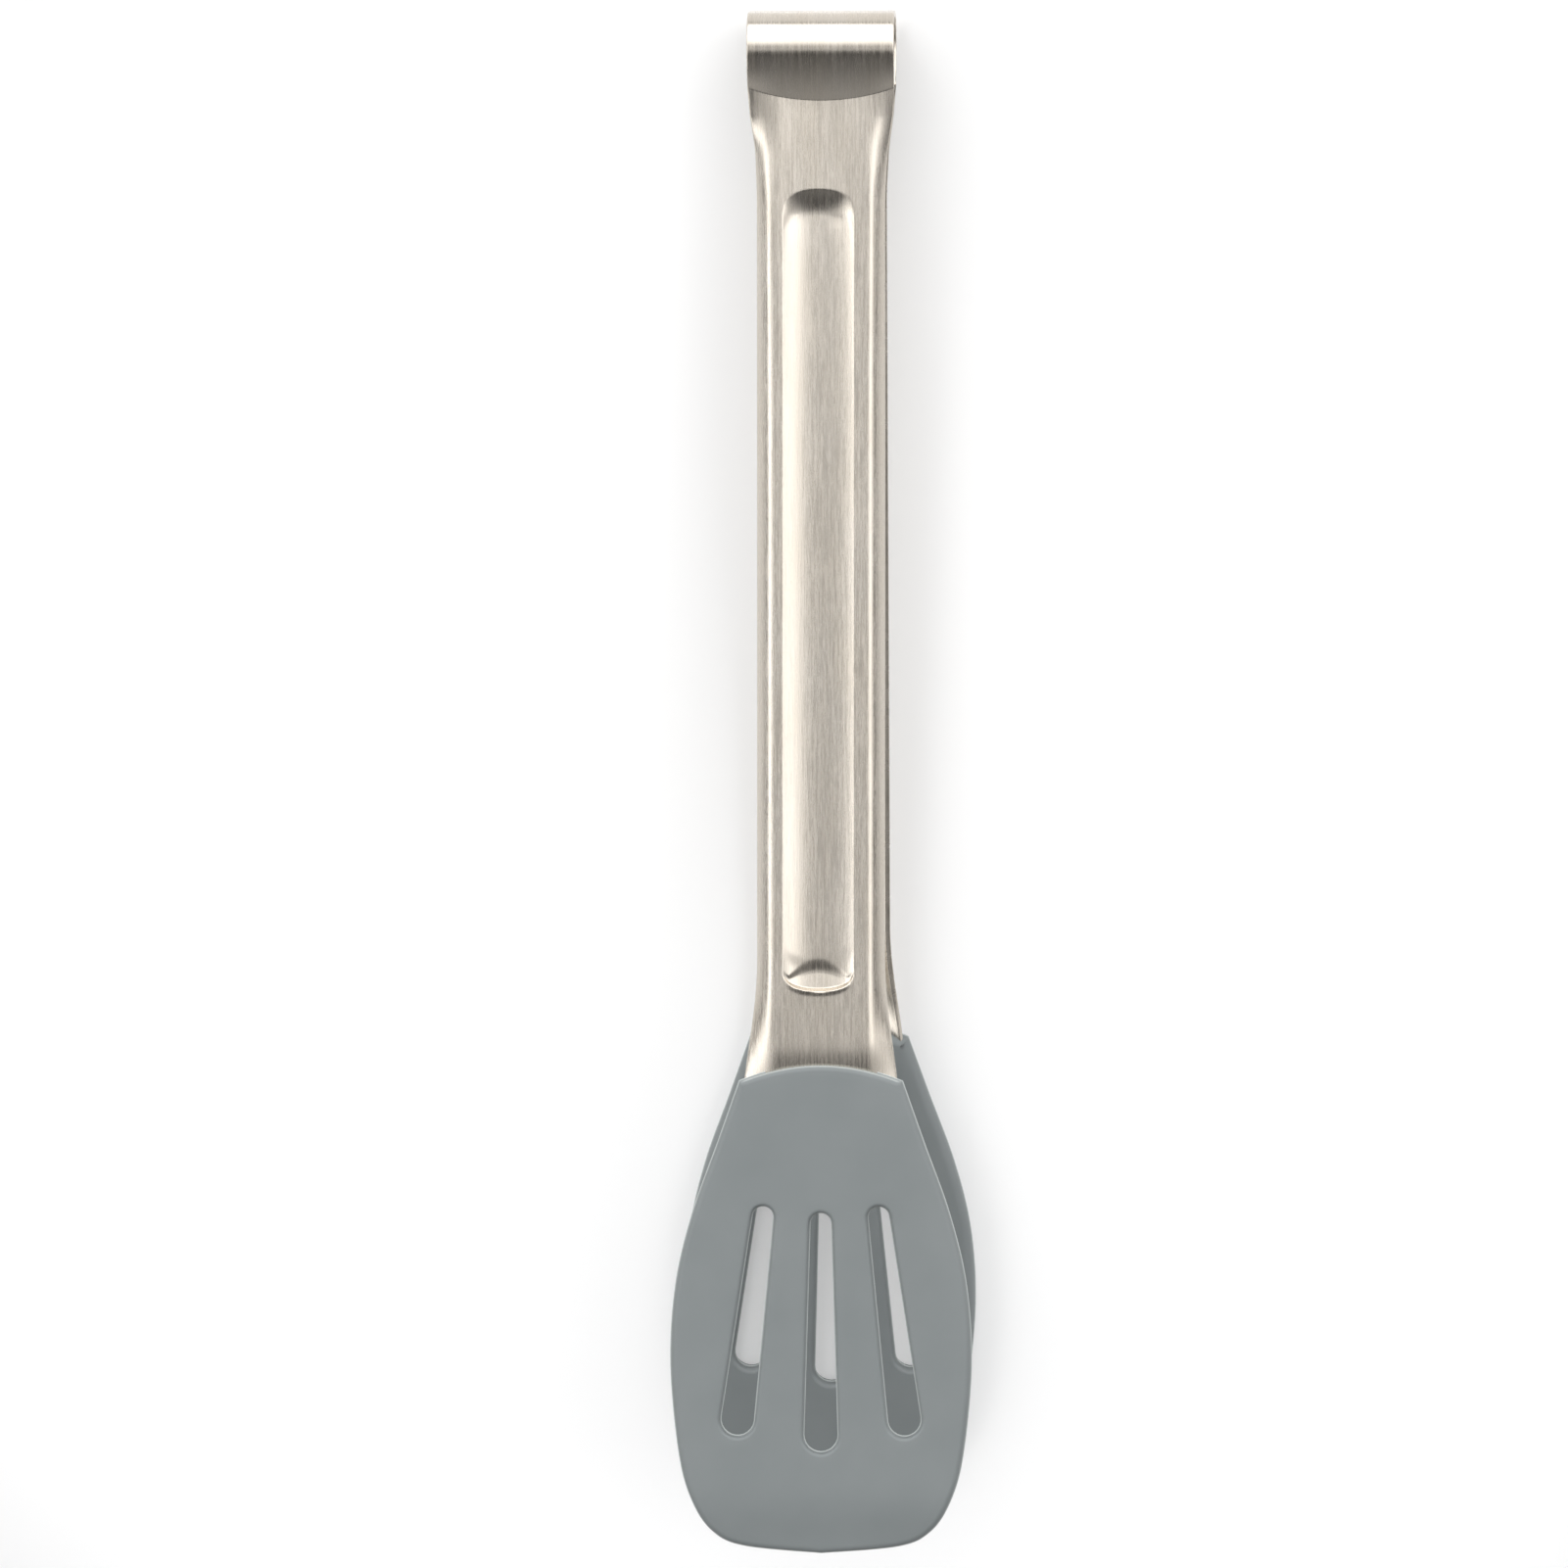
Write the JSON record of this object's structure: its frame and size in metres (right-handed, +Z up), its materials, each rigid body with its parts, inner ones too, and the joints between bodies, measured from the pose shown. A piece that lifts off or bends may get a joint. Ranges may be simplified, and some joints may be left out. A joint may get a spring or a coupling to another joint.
{
  "type": "spring tongs",
  "caption": "Kitchen tongs: one bent steel strip with channel arms and a spring bow, and slotted silicone spatula heads.",
  "frame": {"origin": "centre of the bounding box's base, on the surface that the tongs lie on", "axes": "+X across the strip, +Y along the tongs towards the spring bow, heads towards -Y, +Z up from the lower arm to the upper arm"},
  "size_m": [0.0508, 0.2598, 0.0623],
  "materials": {
    "steel": "satin, brushed along the strip",
    "silicone": "matte"
  },
  "bodies": {
    "lower_half": {"lower_spring_bow": "steel", "lower_arm": "steel", "lower_head_plate": "steel", "lower_silicone_head": "silicone"},
    "upper_half": {"upper_spring_bow": "steel", "upper_arm": "steel", "upper_head_plate": "steel", "upper_silicone_head": "silicone"}
  },
  "joints": [
    {"name": "squeeze", "type": "hinge", "parent": "lower_half", "child": "upper_half", "pos_m": [0, 0.12907, 0.00902], "axis": [1, 0, 0], "range_deg": [0, 12], "stiffness_Nm_per_rad": 7, "springref_deg": -1.15}
  ]
}
